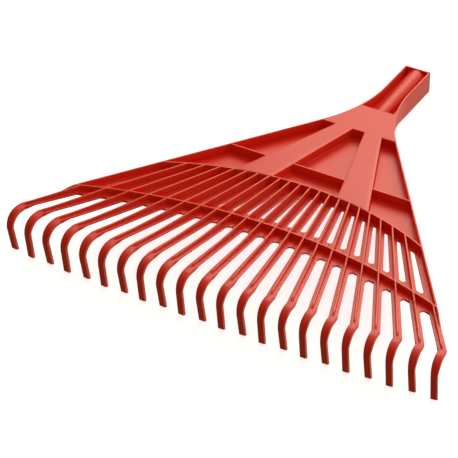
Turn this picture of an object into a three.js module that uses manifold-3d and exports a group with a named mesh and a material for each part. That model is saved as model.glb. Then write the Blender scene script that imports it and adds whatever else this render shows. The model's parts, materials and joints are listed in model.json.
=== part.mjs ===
// A garden leaf rake head: one injection moulding in plastic with a fan of sprung tines and a
// tapered socket for a wooden handle. Millimetres, +Z up. The head is drawn in its own flat
// frame (rib tops on z = 0, handle towards +y, tines towards -y) and then laid down on its
// tine tips and the lower edge of the socket mouth, as it rests on a bench.
import * as THREE from "three";
import { mergeVertices } from "three/addons/utils/BufferGeometryUtils.js";
import Module from "manifold-3d";

const wasm = await Module();
wasm.setup();

// Driving dimensions
const TINES = 22;
const APEX_Y = 82; // every tine line passes through the point (0, APEX_Y)
const KINK_PITCH = 29.05; // tine spacing across the head where the hooks begin
const KINK_Y = -375; // kink line at the middle
const KINK_BOW = 9; // how far the outer kinks stand back from the middle ones
const WALL = 2.4; // thickness of webs and decks
const RIB = 2.2; // thickness of ribs and rails
const GAP = 0.3; // clearance between neighbouring solids
const RAIL_SPREAD = 4; // how far a side rail stands outside the outermost tine line at the front arc
const RAIL_TAIL = 34; // run ahead of the front arc rib over which a rail sinks into the flange
const REAR_ARC = { midY: -151, radius: 427 };
const FRONT_ARC = { midY: -252, radius: 755 };
const WEB_DEPTHS = [[200, 14.8], [60, 14.8], [0, 14.4], [-151, 12.8], [-375, 6]];
const BAR_WIDTH = 11.5; // flange of a slot bar between the two arcs
const TINE_WIDTH = 11; // flange of a free tine
const FOOT = 4.5; // web strip in front of the rear arc rib
const SLOT_BEHIND = 20.5; // round slot ends, measured from the front arc rib
const SLOT_AHEAD = 16.5;
const STUB = 26.5; // rigid root of a free tine, from the slot end to the flexing line
const FLEX_GAP = 1.1; // room for the tine to bend either way at the flexing line
const RIB_LEFT = 2.6; // height of a free tine's rib above its flange, just before the kink
const RIB_END = 6; // length over which the rib then drops into the flange
const HOOK_RUN = 8; // level run ahead of the kink, before the hook bends down
const HOOK_RADIUS = 18.4;
const HOOK_THICK = 5.6;
const HOOK_WIDTH = { kink: 10.6, tip: 8.6 };
const HOOK_TURN = 0.2; // share of the tine's splay that its hook keeps
const HOOK_LEAN = { odd: 11, even: 7 }; // degrees that a hook leans back past upright
const HOOK_LEAD = 1.5; // how far the hook's root reaches back into the flange
const TIP_Z = -66.9;
const TIP_CHAMFER = 2;
const NECK_REAR_Y = 59.6;
const SPOKE = { inner: 9.2, innerSlope: 0.257, outer: 35.4, outerSlope: 0.39 };
const BAY_RIB_Y = -114;
const MOUTH_Y = 182.5;
const MOUTH_HALF = 19.6;
const SOCKET_DEEP = 32; // height of the socket walls at the mouth
const FLARE_Y = 118; // where the socket walls start to flare into the neck
const DEEP_FROM_Y = 115; // the socket walls have their full height from here to the mouth
const SHALLOW_TO_Y = 35; // and only the depth of the web up to here
const TUBE = { mouthR: 15, endR: 11.6, boreMouthR: 12.5, boreEndR: 10, sides: 32 };
const RED = 0xd8402c;

const lerp = (a, b, f) => a + (b - a) * f;
const radians = THREE.MathUtils.degToRad;
const steps = (count, f) => Array.from({ length: count + 1 }, (_, i) => f(i / count));
const mirrored = (outline) => outline.map(([x, y]) => [-x, y]);

// Heights. The web's upper face lies below the rib tops by straight runs between known places.
function webDepth(y) {
  const i = Math.max(1, WEB_DEPTHS.findIndex(([at]) => at <= y));
  const [[y0, d0], [y1, d1]] = [WEB_DEPTHS[i - 1], WEB_DEPTHS[i]];
  return lerp(d0, d1, (y - y0) / (y1 - y0));
}
const webTop = (x, y) => -webDepth(y);
const webBottom = (x, y) => -webDepth(y) - WALL;
const insideWeb = (x, y) => -webDepth(y) - WALL / 2;
const ribTop = () => 0;

// Solids
function solid(geometry) {
  const bare = new THREE.BufferGeometry();
  bare.setAttribute("position", geometry.getAttribute("position"));
  bare.setIndex(geometry.index);
  const merged = mergeVertices(bare, 1e-4);
  const vertProperties = merged.getAttribute("position").array;
  const triVerts = new Uint32Array(merged.index.array);
  return new wasm.Manifold(new wasm.Mesh({ numProp: 3, vertProperties, triVerts }));
}

// A prism on a plan outline whose lower and upper faces follow the heights given.
function slab(outline, bottom, top) {
  const shape = new THREE.Shape(outline.map(([x, y]) => new THREE.Vector2(x, y)));
  const geometry = new THREE.ExtrudeGeometry(shape, { depth: 1, bevelEnabled: false });
  const p = geometry.getAttribute("position");
  for (let i = 0; i < p.count; i++) {
    const height = p.getZ(i) > 0.5 ? top : bottom;
    p.setZ(i, height(p.getX(i), p.getY(i)));
  }
  return solid(geometry);
}

const joined = (solids) => solids.reduce((sum, s) => sum.add(s));

const head = new THREE.Group();
function addNode(name, body) {
  const { vertProperties, triVerts } = body.getMesh();
  const geometry = new THREE.BufferGeometry();
  geometry.setAttribute("position", new THREE.BufferAttribute(vertProperties, 3));
  geometry.setIndex(new THREE.BufferAttribute(triVerts, 1));
  geometry.computeVertexNormals();
  const plastic = new THREE.MeshStandardMaterial({ color: RED, roughness: 0.45, metalness: 0 });
  const mesh = new THREE.Mesh(geometry, plastic);
  mesh.name = name;
  head.add(mesh);
}

// The fan of tine lines
const kinkY = (x) => KINK_Y + KINK_BOW * (Math.abs(x) / (10.5 * KINK_PITCH)) ** 3;
const tines = Array.from({ length: TINES }, (_, i) => {
  const x = (i - (TINES - 1) / 2) * KINK_PITCH;
  const splay = Math.atan2(x, APEX_Y - kinkY(x));
  const kink = Math.hypot(x, APEX_Y - kinkY(x));
  const side = { 0: -1, [TINES - 1]: 1 }[i] ?? 0; // which side is the head's outer edge, if any
  return { number: String(i + 1).padStart(2, "0"), splay, kink, side, lean: i % 2 ? "even" : "odd" };
});
const outermost = tines[TINES - 1];

// The point at distance t down a line of the fan, shifted sideways across it.
const onLine = (splay, t, side = 0) => [
  t * Math.sin(splay) + side * Math.cos(splay),
  APEX_Y - t * Math.cos(splay) + side * Math.sin(splay),
];

// Distance down a fan line, or down a line beside it, to the middle of an arc rib.
function reach(splay, arc, side = 0) {
  const centre = APEX_Y - (arc.midY - arc.radius);
  const along = centre * Math.cos(splay);
  const off = side ** 2 + 2 * centre * side * Math.sin(splay);
  return along - Math.sqrt(along ** 2 - centre ** 2 - off + arc.radius ** 2);
}
const arcY = (arc, x) => arc.midY - arc.radius + Math.sqrt(arc.radius ** 2 - x ** 2);
const ahead = (arc, shift) => ({ midY: arc.midY - shift, radius: arc.radius - shift });

// A strip down a fan line between two sideways edges. Each end is a distance, or a function
// that gives the distance on each edge.
function strip(splay, from, to, left, right) {
  const at = (end, side) => onLine(splay, typeof end === "function" ? end(side) : end, side);
  return [at(from, left), at(to, left), at(to, right), at(from, right)];
}

// Each side rail follows a line of its own, a little outside the outermost tine line.
const railSplay = outermost.splay + Math.atan2(RAIL_SPREAD, reach(outermost.splay, FRONT_ARC));
const ribSplay = (tine) => (tine.side ? tine.side * railSplay : tine.splay);

// The edge of a bar's flange: the fan line it goes by, and how far to the side of it. The outer
// edge of the outermost bars is the rail's own.
const barEdge = (tine, side) =>
  tine.side === side
    ? { splay: side * railSplay, side: (side * RIB) / 2 }
    : { splay: tine.splay, side: (side * BAR_WIDTH) / 2 };

// A band along an arc rib, between two distances ahead of its middle, out to both rails.
function arcBand(arc, near, far, parts = 40) {
  const edge = (shift) => {
    const shifted = ahead(arc, shift);
    const side = -RIB / 2 - GAP;
    const [limit] = onLine(railSplay, reach(railSplay, shifted, side), side);
    return steps(parts, (f) => {
      const x = lerp(-limit, limit, f);
      return [x, arcY(shifted, x)];
    });
  };
  return [...edge(near), ...edge(far).reverse()];
}

// The round end of the space between two neighbours: a half circle that meets both flanges.
// forward is 1 where the space lies ahead of the round end and -1 where it lies behind it.
function roundEnd(a, b, tip, forward, width) {
  const half = (b.splay - a.splay) / 2;
  const middle = (a.splay + b.splay) / 2;
  const centre = (tip - (forward * width) / 2) / (1 - forward * Math.sin(half));
  const radius = centre * Math.sin(half) - width / 2;
  const sweep = Math.PI / 2 - forward * half;
  return steps(6, (f) => {
    const turn = lerp(-sweep, sweep, f);
    return onLine(middle, centre - forward * radius * Math.cos(turn), radius * Math.sin(turn));
  });
}

// Half widths of a free tine's flange. The head's outer edge widens evenly from the rail.
function flangeSide(tine, side, t) {
  if (tine.side !== side) return (side * TINE_WIDTH) / 2;
  const start = reach(tine.splay, FRONT_ARC);
  const f = THREE.MathUtils.clamp((t - start) / (tine.kink - start), 0, 1);
  return side * lerp(RAIL_SPREAD + RIB / 2, TINE_WIDTH / 2, f);
}

// The rib on a free tine sinks evenly from the front arc towards the kink.
function tineRibTop(tine, x, y) {
  const start = reach(tine.splay, FRONT_ARC);
  const t = Math.hypot(x, APEX_Y - y);
  const f = THREE.MathUtils.clamp((t - start) / (tine.kink - start), 0, 1);
  return lerp(0, webTop(x, y) + RIB_LEFT, f);
}

// The hook: a bar that curls down in front of the kink, drawn from the side and turned in place.
function hook(tine) {
  const lean = radians(HOOK_LEAN[tine.lean]);
  const [kinkX, placeY] = onLine(tine.splay, tine.kink);
  const topZ = webTop(kinkX, placeY);
  const midZ = topZ - HOOK_THICK / 2;
  const bend = steps(10, (f) => {
    const a = (Math.PI / 2 + lean) * f;
    return { s: HOOK_RUN + HOOK_RADIUS * Math.sin(a), z: midZ - HOOK_RADIUS * (1 - Math.cos(a)), a };
  });
  const last = bend[bend.length - 1];
  const tip = { s: last.s - (last.z - TIP_Z) * Math.tan(lean), z: TIP_Z, a: last.a };
  const face = (side) => (p) => [p.s + side * Math.sin(p.a), p.z + side * Math.cos(p.a)];
  const middle = [{ s: -HOOK_LEAD, z: midZ, a: 0 }, ...bend];
  const front = middle.map(face(HOOK_THICK / 2));
  const back = middle.map(face(-HOOK_THICK / 2)).reverse();
  const foot = HOOK_THICK / 2 / Math.cos(lean);
  const toe = [
    [tip.s + foot + TIP_CHAMFER * Math.tan(lean), TIP_Z + TIP_CHAMFER],
    [tip.s + foot - TIP_CHAMFER, TIP_Z],
    [tip.s - foot, TIP_Z],
  ];
  const shape = new THREE.Shape([...front, ...toe, ...back].map(([s, z]) => new THREE.Vector2(s, z)));
  const geometry = new THREE.ExtrudeGeometry(shape, { depth: 1, bevelEnabled: false });
  const p = geometry.getAttribute("position");
  const heading = tine.splay * HOOK_TURN;
  for (let i = 0; i < p.count; i++) {
    const s = p.getX(i);
    const z = p.getY(i);
    const narrowing = THREE.MathUtils.smoothstep(topZ - z, HOOK_THICK, 4 * HOOK_THICK);
    const side = (0.5 - p.getZ(i)) * lerp(HOOK_WIDTH.kink, HOOK_WIDTH.tip, narrowing);
    p.setX(i, kinkX + s * Math.sin(heading) + side * Math.cos(heading));
    p.setY(i, placeY - s * Math.cos(heading) + side * Math.sin(heading));
    p.setZ(i, z);
  }
  return solid(geometry);
}

// A free tine starts at its flexing line, a little way down from the slot end.
const flexLine = (tine) => reach(tine.splay, FRONT_ARC) + SLOT_AHEAD + STUB;
function freeTine(tine) {
  const root = flexLine(tine) + FLEX_GAP / 2;
  const dropFrom = tine.kink - RIB_END;
  const flange = [
    onLine(tine.splay, root, flangeSide(tine, -1, root)),
    onLine(tine.splay, tine.kink, -TINE_WIDTH / 2),
    onLine(tine.splay, tine.kink, TINE_WIDTH / 2),
    onLine(tine.splay, root, flangeSide(tine, 1, root)),
  ];
  const rib = strip(tine.splay, root, dropFrom, -RIB / 2, RIB / 2);
  const sinking = (x, y) => tineRibTop(tine, x, y);
  const ribDrop = strip(tine.splay, dropFrom, tine.kink, -RIB / 2, RIB / 2);
  const dropping = (x, y) => {
    const t = Math.hypot(x, APEX_Y - y);
    return t > tine.kink - RIB_END / 2 ? webTop(x, y) - 0.2 : tineRibTop(tine, x, y);
  };
  return joined([
    slab(flange, webBottom, webTop),
    slab(rib, insideWeb, sinking),
    slab(ribDrop, insideWeb, dropping),
    hook(tine),
  ]);
}

// Bars between the two arc ribs, one on each tine line. The outermost ones carry the rails.
// A bar ends where the round ends of the slots on its two sides begin.
function barEnd(tine) {
  const inner = Math.sign(tine.splay) * (Math.abs(tine.splay) - KINK_PITCH / 2 / tine.kink);
  return reach(inner, FRONT_ARC) - SLOT_BEHIND - BAR_WIDTH / 2;
}
function slotBar(tine) {
  const start = (splay, side, clear) => reach(splay, ahead(REAR_ARC, RIB / 2 + clear), side);
  const rib = ribSplay(tine);
  const onRib = (side) => start(rib, side, GAP);
  const onWeb = (side) => start(rib, side, FOOT + GAP);
  const overFoot = (x, y) => webTop(x, y) + GAP;
  const end = barEnd(tine);
  const [left, right] = [barEdge(tine, -1), barEdge(tine, 1)];
  const atStart = (edge) => onLine(edge.splay, start(edge.splay, edge.side, FOOT + GAP), edge.side);
  const atEnd = (edge) => onLine(edge.splay, end, edge.side);
  return joined([
    slab([atStart(left), atEnd(left), atEnd(right), atStart(right)], webBottom, webTop),
    slab(strip(rib, onWeb, end, -RIB / 2, RIB / 2), insideWeb, ribTop),
    slab(strip(rib, onRib, (side) => onWeb(side) + WALL, -RIB / 2, RIB / 2), overFoot, ribTop),
  ]);
}

function rearArcRib() {
  const rib = slab(arcBand(REAR_ARC, -RIB / 2, RIB / 2), webBottom, ribTop);
  return rib.add(slab(arcBand(REAR_ARC, 0, RIB / 2 + FOOT), webBottom, webTop));
}

// The tine root band is a double comb: round slot ends and short bar ends behind the front arc
// rib, and round slot ends and the rigid roots of the free tines ahead of it.
function tineRootBand() {
  const rearEnd = (tine) => barEnd(tine) + GAP;
  const frontEnd = (tine) => flexLine(tine) - FLEX_GAP / 2;
  const flangeEdge = (tine, side, t) => ({ splay: tine.splay, side: flangeSide(tine, side, t) });
  const edge = (endOf, tipShift, forward, width) =>
    tines.flatMap((tine, i) => {
      const t = endOf(tine);
      const sides = [-1, 1].map((side) => {
        const place = forward > 0 ? flangeEdge(tine, side, t) : barEdge(tine, side);
        return onLine(place.splay, t, place.side);
      });
      const next = tines[i + 1];
      if (!next) return sides;
      const middle = (tine.splay + next.splay) / 2;
      return [...sides, ...roundEnd(tine, next, reach(middle, FRONT_ARC) + tipShift, forward, width)];
    });
  const rear = edge(rearEnd, -SLOT_BEHIND, -1, BAR_WIDTH);
  const front = edge(frontEnd, SLOT_AHEAD, 1, TINE_WIDTH).reverse();
  const corner = onLine(railSplay, reach(railSplay, FRONT_ARC), RIB / 2);
  const web = slab([...rear, corner, ...front, ...mirrored([corner])], webBottom, webTop);
  const arcRib = slab(arcBand(FRONT_ARC, -RIB / 2, RIB / 2), insideWeb, ribTop);
  const tineRibs = tines.map((tine) => {
    const top = (x, y) => tineRibTop(tine, x, y);
    const t = reach(tine.splay, FRONT_ARC);
    const behind = slab(strip(ribSplay(tine), rearEnd(tine), t, -RIB / 2, RIB / 2), insideWeb, ribTop);
    return behind.add(slab(strip(tine.splay, t, frontEnd(tine), -RIB / 2, RIB / 2), insideWeb, top));
  });
  const tails = tines.filter((tine) => tine.side).map(railTail);
  return joined([web, arcRib, ...tineRibs, ...tails]);
}

// Ahead of the front arc rib a rail sinks into the outer edge of the outermost tine's root.
function railTail(tine) {
  const from = reach(tine.splay, FRONT_ARC, flangeSide(tine, tine.side, 0));
  const to = from + RAIL_TAIL;
  const edge = (t, inward) => onLine(tine.splay, t, flangeSide(tine, tine.side, t) - tine.side * inward);
  const top = (x, y) => {
    const f = (Math.hypot(x, APEX_Y - y) - from) / RAIL_TAIL;
    return lerp(0, webTop(x, y), THREE.MathUtils.clamp(f, 0, 1));
  };
  const outline = [edge(from, 0), edge(to, 0), edge(to, RIB), edge(from, RIB)];
  return slab(tine.side < 0 ? outline : outline.reverse(), insideWeb, top);
}

// Side rails run from the neck to the rear arc rib, where the outermost slot bars take over.
function sideRail() {
  const from = APEX_Y / Math.cos(railSplay) + GAP;
  const to = (side) => reach(railSplay, ahead(REAR_ARC, RIB / 2), side);
  return strip(railSplay, from, to, -RIB / 2, RIB / 2);
}
const railX = (y) => Math.tan(railSplay) * (APEX_Y - y) - RIB / 2 / Math.cos(railSplay);

// Spokes are raised channels, open below, that fan from the neck plate to the rear arc rib.
const spokeInner = (y) => SPOKE.inner - SPOKE.innerSlope * y;
const spokeOuter = (y) => SPOKE.outer - SPOKE.outerSlope * y;
const behindArc = (x) => arcY(REAR_ARC, x) + RIB / 2 + GAP;

// Where a straight edge x = edge(y) meets the back of the rear arc rib.
function edgeEnd(edge) {
  let y = REAR_ARC.midY;
  for (let i = 0; i < 8; i++) y = behindArc(edge(y));
  return [edge(y), y];
}

// A panel between two straight edges, from the neck front to the rear arc rib.
function panelOutline(innerEdge, outerEdge) {
  const [innerX] = edgeEnd(innerEdge);
  const [outerX] = edgeEnd(outerEdge);
  const along = steps(10, (f) => {
    const x = lerp(innerX, outerX, f);
    return [x, behindArc(x)];
  });
  return [[outerEdge(-GAP), -GAP], [innerEdge(-GAP), -GAP], ...along];
}

function spoke(side) {
  const turned = (outline) => (side < 0 ? mirrored(outline) : outline);
  const deck = turned(panelOutline(spokeInner, spokeOuter));
  const innerWall = turned(panelOutline(spokeInner, (y) => spokeInner(y) + RIB));
  const outerWall = turned(panelOutline((y) => spokeOuter(y) - RIB, spokeOuter));
  return joined([
    slab(deck, () => -WALL, ribTop),
    slab(innerWall, webBottom, ribTop),
    slab(outerWall, webBottom, ribTop),
  ]);
}

// A bay is a sunk panel of web with one thin rib across it.
function bay(leftEdge, rightEdge) {
  const across = [BAY_RIB_Y + RIB / 2, BAY_RIB_Y - RIB / 2];
  const rib = [
    ...across.map((y) => [leftEdge(y), y]),
    ...across.reverse().map((y) => [rightEdge(y), y]),
  ];
  const floor = slab(panelOutline(leftEdge, rightEdge), webBottom, webTop);
  return floor.add(slab(rib, insideWeb, ribTop));
}

// Neck and socket. The side walls run straight from the mouth, then flare to meet the rails.
const flare = (() => {
  const railStart = Math.tan(railSplay) * APEX_Y;
  const spread = railStart - (MOUTH_HALF - RIB / 2);
  const turn = 2 * Math.atan2(spread, FLARE_Y);
  return { turn, radius: FLARE_Y / Math.sin(turn) };
})();
const flareAt = (y) => Math.asin(THREE.MathUtils.clamp((FLARE_Y - y) / flare.radius, 0, 1));
const wallX = (y) => MOUTH_HALF - RIB / 2 + flare.radius * (1 - Math.cos(flareAt(y)));
const insideX = (y) => wallX(y) - (RIB / 2 + GAP) / Math.cos(flareAt(y)) - GAP / 4;
const wallEdge = (fromY, toY, shift, parts = 14) =>
  steps(parts, (f) => {
    const y = lerp(fromY, toY, f);
    const a = flareAt(y);
    return [wallX(y) + shift * Math.cos(a), y + shift * Math.sin(a)];
  });
const socketBack = MOUTH_Y - WALL - GAP;
const tubeAxisZ = -SOCKET_DEEP / 2;
const tubeR = (y) => lerp(TUBE.endR, TUBE.mouthR, (y - NECK_REAR_Y) / (MOUTH_Y - NECK_REAR_Y));

function socketSide(side) {
  const turned = (outline) => (side < 0 ? mirrored(outline) : outline);
  const lower = (x, y) => {
    const deep = THREE.MathUtils.smoothstep(y, SHALLOW_TO_Y, DEEP_FROM_Y);
    return lerp(webBottom(x, y), -SOCKET_DEEP, deep);
  };
  const outer = [[MOUTH_HALF, socketBack], ...wallEdge(FLARE_Y, 0, RIB / 2)];
  const inner = [...wallEdge(0, FLARE_Y, -RIB / 2), [MOUTH_HALF - RIB, socketBack]];
  const ys = steps(6, (f) => lerp(NECK_REAR_Y + GAP, socketBack, f));
  const middle = ys.map((y) => [wallX(y), y]).reverse();
  const ledge = [...ys.map((y) => [tubeR(y) + GAP, y]), ...middle];
  return slab(turned([...outer, ...inner]), lower, ribTop).add(slab(turned(ledge), webBottom, webTop));
}

function socketTube() {
  const end = NECK_REAR_Y + GAP;
  const floorY = end + WALL;
  const profile = [
    [0, end], [tubeR(end), end], [tubeR(socketBack), socketBack],
    [TUBE.boreMouthR, socketBack], [TUBE.boreEndR, floorY], [0, floorY],
  ];
  const points = profile.map(([r, y]) => new THREE.Vector2(r, y));
  return solid(new THREE.LatheGeometry(points, TUBE.sides).translate(0, 0, tubeAxisZ));
}

function socketEndWall() {
  const corners = [[-1, 0], [1, 0], [1, -SOCKET_DEEP], [-1, -SOCKET_DEEP]];
  const shape = new THREE.Shape(corners.map(([side, z]) => new THREE.Vector2(side * MOUTH_HALF, z)));
  const round = steps(TUBE.sides, (f) => {
    const a = -2 * Math.PI * f;
    return new THREE.Vector2(Math.sin(a), Math.cos(a)).multiplyScalar(TUBE.boreMouthR);
  });
  const centre = new THREE.Vector2(0, tubeAxisZ);
  shape.holes.push(new THREE.Path(round.slice(1).map((point) => point.add(centre))));
  const geometry = new THREE.ExtrudeGeometry(shape, { depth: WALL, bevelEnabled: false });
  return solid(geometry.rotateX(Math.PI / 2).translate(0, MOUTH_Y, 0));
}

// The neck plate closes the top between the socket and the bays. It is open below.
function neckPlate() {
  const rightEdge = steps(8, (f) => lerp(0, NECK_REAR_Y, f)).map((y) => [insideX(y), y]);
  const deck = slab([...rightEdge, ...mirrored(rightEdge).reverse()], () => -WALL, ribTop);
  const wall = (x0, x1, y0, y1) => slab([[x0, y0], [x1, y0], [x1, y1], [x0, y1]], webBottom, ribTop);
  const back = insideX(NECK_REAR_Y) - GAP;
  const side = insideX(WALL);
  return joined([
    deck,
    wall(-back, back, NECK_REAR_Y - WALL, NECK_REAR_Y),
    wall(-SPOKE.inner, SPOKE.inner, 0, WALL),
    wall(SPOKE.outer, side, 0, WALL),
    wall(-side, -SPOKE.outer, 0, WALL),
  ]);
}

for (const tine of tines) addNode(`tine_${tine.number}`, freeTine(tine));
for (const tine of tines) addNode(`slot_bar_${tine.number}`, slotBar(tine));
addNode("tine_root_band", tineRootBand());
addNode("rear_arc_rib", rearArcRib());
addNode("side_rail_right", slab(sideRail(), webBottom, ribTop));
addNode("side_rail_left", slab(mirrored(sideRail()), webBottom, ribTop));
addNode("spoke_right", spoke(1));
addNode("spoke_left", spoke(-1));
addNode("bay_right", bay((y) => spokeOuter(y) + GAP, (y) => railX(y) - GAP));
addNode("bay_centre", bay((y) => -spokeInner(y) + GAP, (y) => spokeInner(y) - GAP));
addNode("bay_left", bay((y) => GAP - railX(y), (y) => -spokeOuter(y) - GAP));
addNode("neck_plate", neckPlate());
addNode("socket_side_right", socketSide(1));
addNode("socket_side_left", socketSide(-1));
addNode("socket_tube", socketTube());
addNode("socket_end_wall", socketEndWall());

// Laid down to rest: the outer tine tips and the lower edge of the mouth touch the ground.
const [, outerKinkY] = onLine(outermost.splay, outermost.kink);
const legTop = TIP_Z + HOOK_RADIUS;
const tipY = outerKinkY - HOOK_RUN - HOOK_RADIUS - legTop * Math.tan(radians(HOOK_LEAN.even));
head.rotation.x = -Math.atan2(-SOCKET_DEEP - TIP_Z, MOUTH_Y - tipY);

const rake = new THREE.Group();
rake.add(head);
rake.updateMatrixWorld(true);
const box = new THREE.Box3().setFromObject(rake, true);
rake.position.set(0, -(box.min.y + box.max.y) / 2, -box.min.z);

export default rake;
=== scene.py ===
"""A leaf rake head in red polypropylene, lying on its tine tips in a plain pale studio.

The head is one injection moulding. Its visible surfaces are worked out here with numpy as
profiles carried along the fan's lines and arcs, in metres. They are drawn in the head's own
flat frame (rib tops on z = 0, handle towards +y, tines towards -y) and laid down at the end.
"""

import json
import logging
import math
from dataclasses import dataclass, field
from enum import Enum
from typing import Any, Callable

import bpy
import numpy as np
from mathutils import Matrix, Vector


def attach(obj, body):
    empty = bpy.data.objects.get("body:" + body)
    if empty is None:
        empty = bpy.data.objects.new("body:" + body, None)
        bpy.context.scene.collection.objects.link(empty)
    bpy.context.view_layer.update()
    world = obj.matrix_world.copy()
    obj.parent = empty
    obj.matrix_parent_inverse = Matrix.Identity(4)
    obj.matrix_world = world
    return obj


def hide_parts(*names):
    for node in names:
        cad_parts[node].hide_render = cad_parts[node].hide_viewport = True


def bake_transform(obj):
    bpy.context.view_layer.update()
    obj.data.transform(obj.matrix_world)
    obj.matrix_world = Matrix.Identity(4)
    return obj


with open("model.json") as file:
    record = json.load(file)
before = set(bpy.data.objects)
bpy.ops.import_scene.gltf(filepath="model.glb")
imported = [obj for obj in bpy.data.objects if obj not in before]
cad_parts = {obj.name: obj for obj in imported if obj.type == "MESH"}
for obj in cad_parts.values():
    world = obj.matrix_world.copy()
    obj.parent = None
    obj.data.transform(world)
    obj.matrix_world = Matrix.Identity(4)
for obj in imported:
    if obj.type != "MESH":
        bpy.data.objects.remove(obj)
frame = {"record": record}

Array = np.ndarray
MM = 0.001
SIDES = (("right", 1), ("left", -1))
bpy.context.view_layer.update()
log = logging.getLogger("rake")


# ---------------------------------------------------------------- surfaces


class Cap(Enum):
    """How the first and last ring of a skin are closed."""

    FAN = "fan"
    STRIP = "strip"
    NONE = "none"


@dataclass
class Skin:
    """Rings of points carried along a path, with the share of painted highlight at each point."""

    rings: Array
    highlight_share: Array
    cap: Cap = Cap.FAN

    def mesh_arrays(self) -> tuple[Array, Array, list[tuple[int, ...]]]:
        """Works out vertices, painted-highlight shares and faces.

        The quad (i, k) joins points k and k + 1 of rings i and i + 1. A FAN cap joins an end
        ring to its mean point. A STRIP cap joins point k to point last - k, which suits a
        ring that goes out along one face and comes back along the other.

        Returns:
            The vertices (n, 3), their painted-highlight shares (n,) and the faces as index tuples.
        """
        count, around = self.rings.shape[:2]
        ids = np.arange(count * around).reshape(count, around)
        on = np.roll(ids, -1, axis=1)
        if self.cap is Cap.NONE:
            after, after_on = np.roll(ids, -1, axis=0), np.roll(on, -1, axis=0)
            quads = np.stack([ids, on, after_on, after], axis=-1)
        else:
            quads = np.stack([ids[:-1], on[:-1], on[1:], ids[1:]], axis=-1)
        faces = [tuple(q) for q in quads.reshape(-1, 4).tolist()]
        points = self.rings.reshape(-1, 3)
        highlight_share = np.broadcast_to(self.highlight_share, (count, around)).reshape(-1)
        if self.cap is Cap.FAN:
            hubs = self.rings[[0, -1]].mean(axis=1)
            first, last = len(points), len(points) + 1
            faces += [(b, a, first) for a, b in zip(ids[0].tolist(), on[0].tolist())]
            faces += [(a, b, last) for a, b in zip(ids[-1].tolist(), on[-1].tolist())]
            points = np.vstack([points, hubs])
            highlight_share = np.append(highlight_share, [0.0, 0.0])
        elif self.cap is Cap.STRIP:
            half = around // 2
            for ring, turn in ((ids[0], -1), (ids[-1], 1)):
                out, back = ring[:half], ring[::-1][:half]
                ends = np.stack([out[:-1], out[1:], back[1:], back[:-1]], axis=-1)[:, ::turn]
                faces += [tuple(q) for q in ends.tolist()]
        return points, highlight_share, facing_out(points, faces)


def facing_out(points: Array, faces: list[tuple[int, ...]]) -> list[tuple[int, ...]]:
    """Turns a closed skin's faces outward: its signed volume is made positive.

    Args:
        points: Vertices (n, 3).
        faces: Faces that agree with their neighbours.

    Returns:
        The faces, all reversed where they faced inward.
    """
    corners = [(f[0], f[i], f[i + 1]) for f in faces for i in range(1, len(f) - 1)]
    a, b, c = (points - points.mean(axis=0))[np.array(corners)].transpose(1, 0, 2)
    volume = np.sum(a * np.cross(b, c))
    return faces if volume > 0 else [f[::-1] for f in faces]


def arc_steps(count: int) -> tuple[Array, Array]:
    """Sine and cosine of a quarter turn.

    Args:
        count: How many angles from 0 to 90 degrees.

    Returns:
        The sines and the cosines.
    """
    turn = np.linspace(0.0, math.pi / 2, count)
    return np.sin(turn), np.cos(turn)


def ease(share: Array) -> Array:
    """Smoothstep of a share held between 0 and 1: 3 s^2 - 2 s^3."""
    share = np.clip(share, 0, 1)
    return share * share * (3 - 2 * share)


def slab(plan: Array, top: Array, bottom: Array, highlight_share: Array) -> Skin:
    """A closed slab: the grid plan (n, k, 2) at heights top and bottom (n, k).

    Args:
        plan: Plan position of each grid point, rows carried along and columns across.
        top: Upper height at each grid point.
        bottom: Lower height at each grid point.
        highlight_share: Share of painted highlight on the upper points, (n, k).

    Returns:
        The skin, each ring running across the top and back along the bottom.
    """
    upper = np.concatenate([plan, top[..., None]], axis=-1)
    lower = np.concatenate([plan, bottom[..., None]], axis=-1)[:, ::-1]
    highlight_shares = np.concatenate([highlight_share, 0 * highlight_share], axis=1)
    return Skin(np.concatenate([upper, lower], axis=1), highlight_shares, Cap.STRIP)


def blade(path: Array, low: Array, high: Array, root: Array, thick: float, fillet: float) -> Skin:
    """A thin upright rib along a plan path, with a rounded crest and flared feet.

    Across the rib at distance l from its middle plane: the crest is a quarter round of
    radius 0.2 thick on each side, the sides are upright, and the feet are quarter hollows of
    the fillet's radius that meet the root height. Below the root the rib goes down to low.

    Args:
        path: Plan points (n, 2).
        low: Lowest height at each point.
        high: Crest height at each point.
        root: Height of the surface that the rib stands on.
        thick: Rib thickness.
        fillet: Radius of the flared feet, or 0 for plain sides.

    Returns:
        The skin.
    """
    ahead = np.gradient(path, axis=0)
    ahead /= np.linalg.norm(ahead, axis=1, keepdims=True)
    side = np.stack([ahead[:, 1], -ahead[:, 0]], axis=1)
    half, edge = thick / 2, 0.2 * thick
    sin, cos = arc_steps(4)
    ones = np.ones((len(path), 1))
    high, low, root = high[:, None], low[:, None], root[:, None]
    crest_l, crest_z = (half - edge + edge * sin) * ones, high - edge + edge * cos
    if fillet > 0:
        foot_l, foot_z = (half + fillet - fillet * cos) * ones, root + fillet - fillet * sin
        base_l, base_z = (half + fillet) * ones, low
        right_l, right_z = np.hstack([crest_l, foot_l, base_l]), np.hstack([crest_z, foot_z, base_z])
    else:
        base_l, base_z = (half - edge + edge * cos) * ones, low + edge - edge * sin
        right_l, right_z = np.hstack([crest_l, base_l]), np.hstack([crest_z, base_z])
    lateral = np.hstack([right_l, -right_l[:, ::-1]])
    height = np.hstack([right_z, right_z[:, ::-1]])
    plan = path[:, None, :] + lateral[..., None] * side[:, None, :]
    # painted highlight: the crest's points carry a highlight share that lightens the colour
    painted_highlight = np.zeros(right_l.shape[1])
    painted_highlight[:4] = (1.0, 1.0, 0.7, 0.25)
    return Skin(np.concatenate([plan, height[..., None]], axis=-1), np.append(painted_highlight, painted_highlight[::-1]))


# ---------------------------------------------------------------- the fan's lines


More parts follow.
